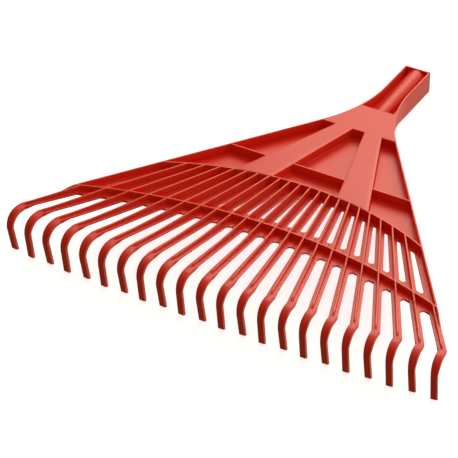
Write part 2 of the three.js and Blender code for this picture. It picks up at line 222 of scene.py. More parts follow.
@dataclass(frozen=True)
class Arc:
    """An arc rib's line: a circle whose centre lies behind its middle, towards the tines."""

    mid_y: float
    radius: float

    def y(self, x: Array) -> Array:
        """Height of the arc in plan at x: centre + sqrt(radius^2 - x^2)."""
        return self.mid_y - self.radius + np.sqrt(self.radius**2 - np.square(x))

    def ahead(self, shift: float) -> "Arc":
        """The same arc moved ahead, towards the tines, as a circle about the same centre."""
        return Arc(self.mid_y - shift, self.radius - shift)


@dataclass(frozen=True)
class Fan:
    """The lines that every member of the head follows, and the heights of its web."""

    tines: int = 22
    apex: float = 82 * MM
    pitch: float = 29.05 * MM
    kink_y: float = -375 * MM
    kink_bow: float = 9 * MM
    wall: float = 2.4 * MM
    rib: float = 2.2 * MM
    rail_spread: float = 4 * MM
    rear: Arc = Arc(-151 * MM, 427 * MM)
    front: Arc = Arc(-252 * MM, 755 * MM)
    web_y: tuple[float, ...] = (-375 * MM, -151 * MM, 0.0, 60 * MM, 200 * MM)
    web_depth: tuple[float, ...] = (6 * MM, 12.8 * MM, 14.4 * MM, 14.8 * MM, 14.8 * MM)

    def web_top(self, y: Array) -> Array:
        """Upper face of the web: straight runs between the depths given."""
        return -np.interp(y, self.web_y, self.web_depth)

    def web_bottom(self, y: Array) -> Array:
        """Lower face of the web."""
        return self.web_top(y) - self.wall

    def kink_at(self, x: float) -> float:
        """Plan y of the kink line at x: it stands back with the cube of the distance."""
        outer = (self.tines - 1) / 2 * self.pitch
        return self.kink_y + self.kink_bow * abs(x / outer) ** 3

    def splay(self, line: float) -> float:
        """Angle of a fan line from straight ahead. Line 1 is the first tine."""
        x = (line - (self.tines + 1) / 2) * self.pitch
        return math.atan2(x, self.apex - self.kink_at(x))

    def kink(self, line: float) -> float:
        """Distance down a fan line from the apex to its kink."""
        x = (line - (self.tines + 1) / 2) * self.pitch
        return math.hypot(x, self.apex - self.kink_at(x))

    def on_line(self, splay: float, t: Array, side: Array = 0.0) -> Array:
        """Plan point at distance t down a line, shifted sideways across it."""
        x = np.asarray(t) * math.sin(splay) + np.asarray(side) * math.cos(splay)
        y = self.apex - np.asarray(t) * math.cos(splay) + np.asarray(side) * math.sin(splay)
        return np.stack(np.broadcast_arrays(x, y), axis=-1)

    def reach(self, splay: float, arc: Arc, side: float = 0.0) -> float:
        """Distance down a line, or down a line beside it, to an arc: the nearer root of a circle."""
        centre = self.apex - (arc.mid_y - arc.radius)
        along = centre * math.cos(splay)
        off = side**2 + 2 * centre * side * math.sin(splay)
        return along - math.sqrt(along**2 - centre**2 - off + arc.radius**2)

    @property
    def rail_splay(self) -> float:
        """Angle of the right side rail, a little outside the outermost tine line."""
        outer = self.splay(self.tines)
        return outer + math.atan2(self.rail_spread, self.reach(outer, self.front))

    def rail_x(self, y: Array) -> Array:
        """Middle plane of the right side rail."""
        return math.tan(self.rail_splay) * (self.apex - np.asarray(y))


# ---------------------------------------------------------------- the lay of the head


@dataclass(frozen=True)
class Lay:
    """How the head lies in the object's frame: tipped about X, then moved."""

    tilt: float
    move: tuple[float, float, float]

    @classmethod
    def from_mount(cls, mount: dict[str, Any], corner: tuple[float, float, float]) -> "Lay":
        """Reads the lay from the socket mouth, whose normal is the head's own +y.

        Args:
            mount: The record's mount on the socket mouth.
            corner: The same mount point in the head's flat frame.

        Returns:
            The lay.
        """
        _, along, up = mount["axis"]
        tilt = math.atan2(up, along)
        turned = Matrix.Rotation(tilt, 3, "X") @ Vector(corner)
        return cls(tilt, tuple(Vector(mount["pos_m"]) - turned))

    def place(self, points: Array) -> Array:
        """Flat head frame to object frame."""
        turn = np.array(Matrix.Rotation(self.tilt, 3, "X"))
        return points @ turn.T + np.array(self.move)


# ---------------------------------------------------------------- finishes


class Signal:
    """A shader value that adds a Math node for each operator it meets."""

    def __init__(self, bench: "Bench", socket: bpy.types.NodeSocket) -> None:
        """Wraps an output socket."""
        self.bench = bench
        self.socket = socket

    def _with(self, operation: str, a: Any, b: Any) -> "Signal":
        """One Math node on two values."""
        return self.bench.node("ShaderNodeMath", {"operation": operation}, {0: a, 1: b})

    def __add__(self, other: Any) -> "Signal":
        """self + other."""
        return self._with("ADD", self, other)

    def __radd__(self, other: Any) -> "Signal":
        """other + self."""
        return self._with("ADD", other, self)

    def __sub__(self, other: Any) -> "Signal":
        """self - other."""
        return self._with("SUBTRACT", self, other)

    def __mul__(self, other: Any) -> "Signal":
        """self * other."""
        return self._with("MULTIPLY", self, other)


class Bench:
    """The node tree that a finish is built on."""

    def __init__(self, name: str, tree: bpy.types.NodeTree | None = None) -> None:
        """Empties the tree given, or starts a new material with an empty one."""
        if tree is None:
            self.material = bpy.data.materials.new(name)
            self.material.use_nodes = True
            tree = self.material.node_tree
        self.tree = tree
        self.tree.nodes.clear()

    def node(
        self, kind: str, settings: dict[str, Any], values: dict[Any, Any], out: Any = 0
    ) -> Signal:
        """Adds one node.

        Args:
            kind: The node's type.
            settings: Properties, set first.
            values: Socket name or number to a value, or to the Signal that is linked there.
            out: Name or number of the output that is wrapped.

        Returns:
            The output.
        """
        made = self.tree.nodes.new(kind)
        for key, value in settings.items():
            setattr(made, key, value)
        for key, value in values.items():
            if isinstance(value, Signal):
                self.tree.links.new(value.socket, made.inputs[key])
            else:
                made.inputs[key].default_value = value
        return Signal(self, made.outputs[out]) if len(made.outputs) else Signal(self, None)

    def noise(self, place: Signal, scale: float, detail: float = 2.0) -> Signal:
        """Noise between 0 and 1 at a place."""
        values = {"Vector": place, "Scale": scale, "Detail": detail}
        return self.node("ShaderNodeTexNoise", {}, values, "Fac")

    def mix(self, share: Signal, first: Any, second: Any) -> Signal:
        """The colour that lies a share of the way between two, each a Signal or (r, g, b)."""
        ends = [end if isinstance(end, Signal) else (*end, 1.0) for end in (first, second)]
        values = {0: share, 6: ends[0], 7: ends[1]}
        return self.node("ShaderNodeMix", {"data_type": "RGBA", "clamp_factor": True}, values, 2)


@dataclass(frozen=True)
class MouldedPolypropylene:
    """Satin injection-moulded plastic, a little translucent, with a painted highlight lightening its thin
    edges and rib crests.

    Broad drifts of pigment and faint flow lines along the head vary the colour, a painted
    highlight lightens thin edges and rib crests, and a fine spark-eroded grain breaks up the sheen.
    """

    name: str
    body: tuple[float, float, float] = (0.72, 0.014, 0.002)
    pale: tuple[float, float, float] = (0.76, 0.020, 0.004)
    # painted highlight: the lighter orange that thin edges and rib crests are mixed towards
    painted_highlight: tuple[float, float, float] = (0.84, 0.085, 0.028)
    roughness: float = 0.38
    grain: float = 0.05
    subsurface: float = 0.12
    drift_scale: float = 7.0
    flow_scale: tuple[float, float, float] = (90.0, 6.0, 40.0)
    grain_scale: float = 1400.0
    grain_depth: float = 0.4 * MM
    scatter: float = 2.0 * MM

    def build(self) -> bpy.types.Material:
        """Builds the material's nodes."""
        bench = Bench(self.name)
        place = bench.node("ShaderNodeTexCoord", {}, {}, "Object")
        along = bench.node("ShaderNodeMapping", {}, {"Vector": place, "Scale": self.flow_scale})
        drift = bench.noise(place, self.drift_scale, 3.0)
        flow = bench.noise(along, 1.0)
        fine = bench.noise(place, self.grain_scale)
        highlight_share = bench.node("ShaderNodeAttribute", {"attribute_name": "highlight_share"}, {}, "Fac")
        pigment = bench.mix(drift * 0.7 + flow * 0.45 - 0.1, self.body, self.pale)
        # painted highlight: the colour is mixed towards the highlight tint by each point's highlight share
        colour = bench.mix(highlight_share * 0.8, pigment, self.painted_highlight)
        rough = self.roughness - 0.04 + drift * 0.05 + fine * 0.06 - highlight_share * 0.06
        height = fine * 0.8 + flow * 0.3
        bump = {"Strength": self.grain, "Distance": self.grain_depth, "Height": height}
        surface = {
            "Base Color": colour,
            "Roughness": rough,
            "Normal": bench.node("ShaderNodeBump", {}, bump),
            "IOR": 1.5,
            "Subsurface Weight": self.subsurface,
            "Subsurface Radius": (1.0, 0.12, 0.05),
            "Subsurface Scale": self.scatter,
        }
        method = {"subsurface_method": "RANDOM_WALK"}
        shader = bench.node("ShaderNodeBsdfPrincipled", method, surface)
        bench.node("ShaderNodeOutputMaterial", {}, {"Surface": shader})
        return bench.material


@dataclass(frozen=True)
class StudioPaper:
    """The pale floor's matt paper, with a barely visible tooth and a lift towards white."""

    name: str = "studio_paper"
    shade: float = 0.55
    lift: float = 0.80

    def build(self) -> bpy.types.Material:
        """Builds the material's nodes."""
        bench = Bench(self.name)
        place = bench.node("ShaderNodeTexCoord", {}, {}, "Object")
        tooth = bench.noise(place, 40.0)
        cool = (self.shade, self.shade + 0.015, self.shade + 0.05)
        surface = {
            "Base Color": bench.mix(tooth, (self.shade,) * 3, cool),
            "Roughness": 0.9,
            "Emission Color": (1.0, 1.0, 1.0, 1.0),
            "Emission Strength": self.lift,
        }
        shader = bench.node("ShaderNodeBsdfPrincipled", {}, surface)
        bench.node("ShaderNodeOutputMaterial", {}, {"Surface": shader})
        return bench.material


# ---------------------------------------------------------------- making pieces


@dataclass
class Workshop:
    """What every sub-assembly needs to make a piece: the fan, the lay and the finishes."""

    fan: Fan
    lay: Lay
    satin: bpy.types.Material
    smooth: bpy.types.Material
    made: int = 0

    def piece(
        self, name: str, skins: list[Skin], finish: bpy.types.Material, node: str
    ) -> bpy.types.Object:
        """Makes one mesh object from its skins and lets it stand for its CAD node.

        Args:
            name: The piece's name.
            skins: Closed skins in the head's flat frame.
            finish: The material.
            node: CAD node that the piece stands for.

        Returns:
            The object, at the origin, with its place in its mesh.
        """
        points, highlight_shares, faces = [], [], []
        for skin in skins:
            at, highlight_share, quads = skin.mesh_arrays()
            base = sum(len(p) for p in points)
            faces += [tuple(i + base for i in face) for face in quads]
            points.append(self.lay.place(at))
            highlight_shares.append(highlight_share)
        mesh = bpy.data.meshes.new(name)
        mesh.from_pydata(np.vstack(points).tolist(), [], faces)
        # the painted-highlight share of each point goes on as a point attribute that the finish reads
        mesh.attributes.new("highlight_share", "FLOAT", "POINT").data.foreach_set("value", np.concatenate(highlight_shares))
        mesh.materials.append(finish)
        mesh.polygons.foreach_set("use_smooth", np.ones(len(mesh.polygons), bool))
        mesh.set_sharp_from_angle(angle=math.radians(38))
        mesh.validate()
        mesh.update()
        thing = bpy.data.objects.new(name, mesh)
        bpy.context.scene.collection.objects.link(thing)
        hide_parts(node)
        self.made += 1
        log.info("%s: %d faces, for %s", name, len(mesh.polygons), node)
        return thing


@dataclass
class Edge:
    """One side of a fan member: plan points, and whether the flange ends freely at each."""

    points: Array
    free: Array

    @classmethod
    def meeting(cls, points: Array, first: int, last: int) -> "Edge":
        """An edge whose first and last few points meet the next member."""
        free = np.ones(len(points), bool)
        free[:first] = False
        free[len(points) - last :] = False
        return cls(points, free)


@dataclass
class TineLine:
    """Everything along one fan line: the slot bar behind the front arc and the tine ahead."""

    shop: Workshop
    line: int
    bar_width: float = 11.5 * MM
    tine_width: float = 11 * MM
    foot: float = 4.5 * MM
    foot_corner: float = 1.6 * MM
    slot_behind: float = 20.5 * MM
    slot_ahead: float = 16.5 * MM
    stub: float = 26.5 * MM
    rail_tail: float = 34 * MM
    tail_root: float = 1.5 * MM
    tail_inset: float = 0.02 * MM
    flex_run: float = 16 * MM
    edge_round: float = 0.45 * MM
    joint_round: float = 0.015 * MM
    crest_round: float = 0.42 * MM
    fillet: float = 0.6 * MM
    crest_drop: float = 0.05 * MM
    rise_share: float = 0.45
    flange_from: float = 1 * MM
    # painted highlight: rib height that gets the full crest highlight, and the highlight share on rounded
    # flange edges
    highlight_rise: float = 3 * MM
    edge_highlight: float = 0.45
    rib_left: float = 2.6 * MM
    rib_end: float = 7 * MM
    last_rib: float = 0.15 * MM
    hook_run: float = 8 * MM
    hook_radius: float = 18.4 * MM
    hook_thick: float = 5.6 * MM
    hook_width: tuple[float, float] = (10.6 * MM, 8.6 * MM)
    hook_turn: float = 0.2
    hook_round: float = 0.9 * MM
    thicken_run: float = 15 * MM
    lean: float = field(init=False)
    tip_z: float = -66.9 * MM
    tip_chamfer: float = 2 * MM
    last_step: float = 1.2 * MM

    def __post_init__(self) -> None:
        """Neighbouring hooks lean back by different angles in turn."""
        self.lean = math.radians(11 if self.line % 2 else 7)

    @property
    def fan(self) -> Fan:
        """The fan."""
        return self.shop.fan

    @property
    def splay(self) -> float:
        """This line's angle."""
        return self.fan.splay(self.line)

    def neighbour(self, side: int) -> float | None:
        """The splay of the next line on that side, or None at the head's outer edge."""
        other = self.line + side
        return self.fan.splay(other) if 1 <= other <= self.fan.tines else None

    def round_end(self, side: int, tip: float, forward: int, width: float) -> Array:
        """Half of a slot's round end, from its tip on the middle line to this line's flange.

        With half the angle between neighbours h, the circle that touches both flanges and the
        tip has its centre at (tip - forward w / 2) / (1 - forward sin h) along the middle
        line and radius centre sin h - w / 2.

        Args:
            side: Which neighbour, -1 or 1.
            tip: Distance of the slot's tip along the middle line.
            forward: 1 where the slot lies ahead of its round end, -1 where it lies behind.
            width: Flange width.

        Returns:
            Plan points from the tip to the flange.
        """
        half = abs(self.neighbour(side) - self.splay) / 2
        middle = (self.neighbour(side) + self.splay) / 2
        centre = (tip - forward * width / 2) / (1 - forward * math.sin(half))
        radius = centre * math.sin(half) - width / 2
        turn = np.linspace(0, math.pi / 2 - forward * half, 9)
        along = centre - forward * radius * np.cos(turn)
        return self.fan.on_line(middle, along, -side * radius * np.sin(turn))

    @property
    def bar_splay(self) -> float:
        """The angle of the slot bar's rib: the outermost bars carry the rails."""
        outer = {1: -self.fan.rail_splay, self.fan.tines: self.fan.rail_splay}
        return outer.get(self.line, self.splay)

    def down(self, points: Array, splay: float) -> Array:
        """Distance of each plan point down a line."""
        away = points - np.array([0.0, self.fan.apex])
        return away @ np.array([math.sin(splay), -math.cos(splay)])

    def across(self, points: Array, splay: float) -> Array:
        """Distance of each plan point to the right of a line."""
        away = points - np.array([0.0, self.fan.apex])
        return away @ np.array([math.cos(splay), math.sin(splay)])

    def bar_edge(self, side: int) -> Edge | None:
        """A slot bar's edge: foot on the middle line, square corner, flange, round end.

        Args:
            side: -1 for the left edge or 1 for the right.

        Returns:
            The edge, or None where the head's outer edge runs.
        """
        if self.neighbour(side) is None:
            return None
        fan = self.fan
        middle = (self.neighbour(side) + self.splay) / 2
        front_of_foot = fan.rear.ahead(fan.rib / 2 + self.foot)
        half, bend = self.bar_width / 2, self.foot_corner
        on_middle = np.array([fan.reach(middle, fan.rear), fan.reach(middle, front_of_foot)])
        sin, cos = arc_steps(5)
        corner_t = fan.reach(self.splay, front_of_foot, side * (half + bend)) + bend
        corner = fan.on_line(self.splay, corner_t - bend * cos, side * (half + bend - bend * sin))
        tip = fan.reach(middle, fan.front)
        arc = self.round_end(side, tip - self.slot_behind, -1, self.bar_width)[::-1]
        first, last = self.down(np.stack([corner[-1], arc[0]]), self.splay)
        flange = fan.on_line(self.splay, np.linspace(first, last, 8)[1:-1], side * half)
        band = fan.on_line(middle, np.linspace(tip - self.slot_behind, tip, 4)[1:])
        points = np.vstack([fan.on_line(middle, on_middle), corner, flange, arc, band])
        return Edge.meeting(points, len(on_middle), len(band))

    def tine_edge(self, side: int) -> Edge | None:
        """A free tine's edge: root on the middle line, round end, flange to the kink."""
        if self.neighbour(side) is None:
            return None
        fan = self.fan
        middle = (self.neighbour(side) + self.splay) / 2
        start = fan.reach(middle, fan.front)
        root = fan.on_line(middle, np.linspace(start, start + self.slot_ahead, 4)[:-1])
        arc = self.round_end(side, start + self.slot_ahead, 1, self.tine_width)
        first, kink = self.down(arc[-1:], self.splay)[0], fan.kink(self.line)
        near_kink = kink - self.rib_end * np.linspace(0.8, 0, 5)
        run = np.append(np.linspace(first, kink - self.rib_end, 24)[1:], near_kink)
        flange = fan.on_line(self.splay, run, side * self.tine_width / 2)
        return Edge.meeting(np.vstack([root, arc, flange]), len(root), 0)

    def outer_bar_edge(self, inner: Edge, side: int) -> Edge:
        """The head's outer edge beside a slot bar's inner one: the rail's own face."""
        fan, splay = self.fan, self.bar_splay
        t = self.down(inner.points, splay)
        half = side * fan.rib / 2
        ends = fan.reach(splay, fan.rear, half), fan.reach(splay, fan.front, half)
        t = np.interp(t, [t[0], t[-1]], ends)
        return Edge.meeting(fan.on_line(splay, t, half), 0, 0)

    def outer_tine_edge(self, inner: Edge, side: int) -> Edge:
        """The head's outer edge beside a tine's inner one: from the rail evenly to the kink."""
        t = self.down(inner.points, self.splay)
        rail = self.fan.rail_spread + self.fan.rib / 2
        start = self.fan.reach(self.splay, self.fan.front, side * rail)
        t = np.interp(t, [t[0], t[-1]], [start, self.fan.kink(self.line)])
        share = (t - start) / (t[-1] - start)
        half = rail + (self.tine_width / 2 - rail) * share
        return Edge.meeting(self.fan.on_line(self.splay, t, side * half), 0, 0)

    def edges(
        self, inner: Callable[[int], Edge | None], outer: Callable[[Edge, int], Edge]
    ) -> tuple[Edge, Edge]:
        """Both edges of a member.

        Args:
            inner: Gives the edge on one side, or None at the head's outer edge.
            outer: Gives the head's outer edge from the member's other edge.

        Returns:
            The left and the right edge.
        """
        left, right = inner(-1), inner(1)
        if left is None:
            left = outer(right, -1)
        if right is None:
            right = outer(left, 1)
        return left, right

    def rib_height(self, t: Array, y: Array) -> Array:
        """Height of this line's rib above the web.

        It is full to the front arc, then sinks evenly, and fades out just before the kink.
        """
        start, kink = self.fan.reach(self.splay, self.fan.front), self.fan.kink(self.line)
        share = np.clip((t - start) / (kink - start), 0, 1)
        full = -self.fan.web_top(y) - self.crest_drop
        rise = full * (1 - share) + self.rib_left * share
        return np.maximum(rise * ease((kink - t) / self.rib_end), self.last_rib)

    def half_tee(
        self, reach: Array, rise: Array, thick: Array, round_: Array
    ) -> tuple[Array, Array, Array]:
        """The right half of a T section, from the rib's crest to the middle of the underside.

        With rib half width b: crest quarter round, upright side, hollow fillet at the foot,
        flange face, and rounded flange edge. Where the flange is no wider than the rib the
        points between crest and underside spread evenly down the one plain side.

        Args:
            reach: Half width of the flange at each station.
            rise: Height of the rib above the flange.
            thick: Thickness of the flange.
            round_: Radius of the flange's edges.

        Returns:
            Distances from the middle plane, heights above the flange face and painted-highlight shares.
        """
        half = self.fan.rib / 2
        sin4, cos4 = arc_steps(4)
        sin3, cos3 = arc_steps(3)
        reach, rise, thick, round_ = (v[:, None] for v in (reach, rise, thick, round_))
        crest = np.minimum(self.crest_round, self.rise_share * rise)
        foot = np.minimum(self.fillet, self.rise_share * rise)
        crest_l = half - crest + crest * sin4
        crest_z = rise - crest + crest * cos4
        foot_l, foot_z = half + foot - foot * cos4, foot - foot * sin4
        mid_l = (half + foot + reach - round_) / 2
        edge_l, edge_z = reach - round_ + round_ * sin3, -round_ + round_ * cos3
        tee_l = np.hstack([foot_l, mid_l, edge_l])
        tee_z = np.hstack([foot_z, 0 * mid_l, edge_z])
        spread = np.linspace(0, 1, tee_l.shape[1] + 2)[1:-1]
        plain_z = (rise - crest) + (-thick + round_ - rise + crest) * spread
        there = np.clip((reach - half) / self.flange_from, 0, 1)
        side_l = half + (tee_l - half) * there
        side_z = plain_z + (tee_z - plain_z) * there
        under_l, under_z = reach - round_ + round_ * cos3, -thick + round_ - round_ * sin3
        ones = np.ones_like(reach)
        lateral = np.hstack([0 * ones, crest_l, side_l, under_l, 0 * ones])
        height = np.hstack([rise, crest_z, side_z, under_z, -thick])
        # painted highlight: taller rib crests are lightened more, and the rounded flange edges are
        # lightened too
        crest_highlight = np.clip(rise / self.highlight_rise, 0.25, 1)
        edge_highlight_share = np.clip(round_ / self.edge_round, 0, 1) * self.edge_highlight
        highlight_share = np.hstack(
            [crest_highlight, crest_highlight * np.array([1.0, 1.0, 0.7, 0.2]), np.zeros_like(foot_l), 0 * ones]
            + [edge_highlight_share * np.array([0.3, 1.0, 0.8]), edge_highlight_share * np.array([0.6, 0.3, 0.0]), 0 * ones]
        )
        return lateral, height, highlight_share

    def tee_rings(self, left: Edge, right: Edge, splay: float, thicken: bool) -> tuple[Array, Array]:
        """T-section rings between two edges.

        Each point goes out from the line's middle by its distance across, and slides along
        the line in proportion, so that the rings follow edges that are out of step.

        Args:
            left: Left edge.
            right: Right edge.
            splay: Angle of the line that the rib stands on.
            thicken: Whether the flange grows to the hook's thickness at the end.

        Returns:
            Rings (n, k, 3) and painted-highlight shares (n, k).
        """
        t_left, t_right = self.down(left.points, splay), self.down(right.points, splay)
        left_reach = np.abs(self.across(left.points, splay))
        right_reach = np.abs(self.across(right.points, splay))
        t = (t_left * right_reach + t_right * left_reach) / (left_reach + right_reach)
        middle = self.fan.on_line(splay, t)
        grown = ease((t - self.fan.kink(self.line)) / self.thicken_run + 1) * thicken
        thick = self.fan.wall + (self.hook_thick - self.fan.wall) * grown
        rise = self.rib_height(t, middle[:, 1])
        halves = []
        sides = (right, t_right, right_reach, 1), (left, t_left, left_reach, -1)
        for edge, t_edge, reach, side in sides:
            radius = np.where(edge.free, self.edge_round, self.joint_round)
            radius = radius + (self.hook_round - radius) * grown
            lateral, height, highlight_share = self.half_tee(reach, rise, thick, radius)
            slide = (t_edge - t)[:, None] * lateral / reach[:, None]
            plan = self.fan.on_line(splay, t[:, None] + slide, side * lateral)
            z = self.fan.web_top(plan[..., 1]) + height
            halves.append((np.concatenate([plan, z[..., None]], axis=-1), highlight_share))
        (right_part, right_highlight_share), (left_part, left_highlight_share) = halves
        rings = np.concatenate([right_part, left_part[:, -2:0:-1]], axis=1)
        return rings, np.concatenate([right_highlight_share, left_highlight_share[:, -2:0:-1]], axis=1)

    def hook_rings(self) -> tuple[Array, Array]:
        """Rings of the hook, from just past the kink to the chamfered tip.

        The middle line runs level, bends evenly until it leans back past upright, then runs
        straight to the ground. In the bend it is a circle: (R sin a, -R (1 - cos a)).

        Returns:
            Rings (n, k, 3) and painted-highlight shares (n, k).
        """
        fan = self.fan
        kink = fan.on_line(self.splay, fan.kink(self.line))
        top = float(fan.web_top(kink[1]))
        heading = self.splay * self.hook_turn
        full = math.pi / 2 + self.lean
        level = self.hook_run * np.array([0.25, 0.6])
        angle = np.append(0 * level, full * np.linspace(0, 1, 22))
        s = np.append(level, self.hook_run + self.hook_radius * np.sin(angle[2:]))
        z = top - self.hook_thick / 2 - self.hook_radius * (1 - np.cos(angle))
        drop = np.linspace(0, 1, 9)[1:] * (z[-1] - self.tip_z)
        s = np.append(s, s[-1] - drop * math.tan(self.lean))
        z = np.append(z, z[-1] - drop)
        angle = np.append(angle, np.full(len(drop), full))
        run = ease((top - z - self.hook_thick) / (3 * self.hook_thick))
        width = self.hook_width[0] + (self.hook_width[1] - self.hook_width[0]) * run
        rise = np.full(len(s), self.last_rib) * (1 - 0.8 * run)
        thick = np.full(len(s), self.hook_thick)
        rounding = np.full(len(s), self.hook_round)
        half = self.half_tee(width / 2, rise, thick, rounding)
        lateral, height, highlight_share = (np.hstack([v, v[:, -2:0:-1]]) for v in half)
        lateral[:, half[0].shape[1] :] *= -1
        out = height + self.hook_thick / 2
        ahead = s[:, None] + out * np.sin(angle)[:, None]
        z = z[:, None] + out * np.cos(angle)[:, None]
        ahead, z = self.cut_tip(ahead, z)
        x = kink[0] + ahead * math.sin(heading) + lateral * math.cos(heading)
        y = kink[1] - ahead * math.cos(heading) + lateral * math.sin(heading)
        return np.stack([x, y, z], axis=-1), highlight_share

    def cut_tip(self, ahead: Array, z: Array) -> tuple[Array, Array]:
        """Cuts the last rings level with the ground and chamfers the tip's front edge.

        Args:
            ahead: Distance ahead of the kink of each point.
            z: Height of each point.

        Returns:
            The same arrays with the last two rings moved along the hook's own lean.
        """
        lean = math.tan(self.lean)
        front = ahead[-1] - ahead[-1].min()
        share = front / front.max()
        level = self.tip_z + self.tip_chamfer * np.clip(share * 2 - 1, 0, 1)
        for ring, place in ((-1, level), (-2, level + self.last_step)):
            ahead[ring] = ahead[ring] - (z[ring] - place) * lean
            z[ring] = place
        return ahead, z

    def rail_tails(self) -> list[Skin]:
        """On an outermost line, the rail ahead of the front arc rib, sinking into the flange.

        Its crest falls by smoothstep of the way along, from the rib tops to the flange.
        """
        side = {1: -1, self.fan.tines: 1}.get(self.line)
        if side is None:
            return []
        fan = self.fan
        start = fan.reach(self.splay, fan.front, side * (fan.rail_spread + fan.rib / 2))
        share = np.linspace(0, 1, 18)
        t = start - self.tail_root + (self.rail_tail + self.tail_root) * share
        widening = self.tine_width / 2 - fan.rail_spread - fan.rib / 2
        spread = fan.rail_spread + widening * (t - start) / (fan.kink(self.line) - start)
        path = fan.on_line(self.splay, t, side * (spread - self.tail_inset))
        web = fan.web_top(path[:, 1])
        high = (web + 0.1 * MM) * ease(share) - self.crest_drop
        return [blade(path, web - fan.wall / 2, high, web, fan.rib, 0.0)]

    def build(self) -> None:
        """Makes the slot bar and the tine of this line."""
        number, shop = f"{self.line:02d}", self.shop
        left, right = self.edges(self.bar_edge, self.outer_bar_edge)
        bar_skin = Skin(*self.tee_rings(left, right, self.bar_splay, thicken=False))
        bar = shop.piece(f"ribbed_bar_{number}", [bar_skin], shop.satin, f"slot_bar_{number}")
        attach(bar, "head")
        left, right = self.edges(self.tine_edge, self.outer_tine_edge)
        rings, highlight_share = self.tee_rings(left, right, self.splay, thicken=True)
        hook, hook_highlight_share = self.hook_rings()
        skin = Skin(np.concatenate([rings, hook]), np.concatenate([highlight_share, hook_highlight_share]))
        skins = [skin, *self.rail_tails()]
        tine = shop.piece(f"sprung_tine_{number}", skins, shop.smooth, f"tine_{number}")
        flex = self.fan.reach(self.splay, self.fan.front) + self.slot_ahead + self.stub
        ends = self.fan.on_line(self.splay, np.array([flex - self.flex_run, flex + self.flex_run]))
        height = self.fan.web_top(ends[:, 1])
        start, end = shop.lay.place(np.column_stack([ends, height]))
        tuple(start)
        tuple(end)
        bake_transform(tine)


@dataclass
class ArcRibs:
    """The two arc ribs that tie the fan's lines together."""

    shop: Workshop
    stations: int = 120
    fillet: float = 0.6 * MM
    shy: float = 0.4 * MM

    def rib(self, arc: Arc) -> Skin:
        """A blade along an arc, out to the outermost lines."""
        fan = self.shop.fan
        limit = fan.on_line(fan.rail_splay, fan.reach(fan.rail_splay, arc))[0]
        x = np.linspace(-limit, limit, self.stations)
        y = arc.y(x)
        path = np.stack([x, y], axis=1)
        low = fan.web_bottom(y) + self.shy
        return blade(path, low, 0 * x, fan.web_top(y), fan.rib, self.fillet)

    def build(self) -> None:
        """Makes both ribs."""
        shop = self.shop
        front, rear = self.rib(shop.fan.front), self.rib(shop.fan.rear)
        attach(shop.piece("front_arc_blade", [front], shop.smooth, "tine_root_band"), "head")
        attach(shop.piece("rear_arc_blade", [rear], shop.smooth, "rear_arc_rib"), "head")


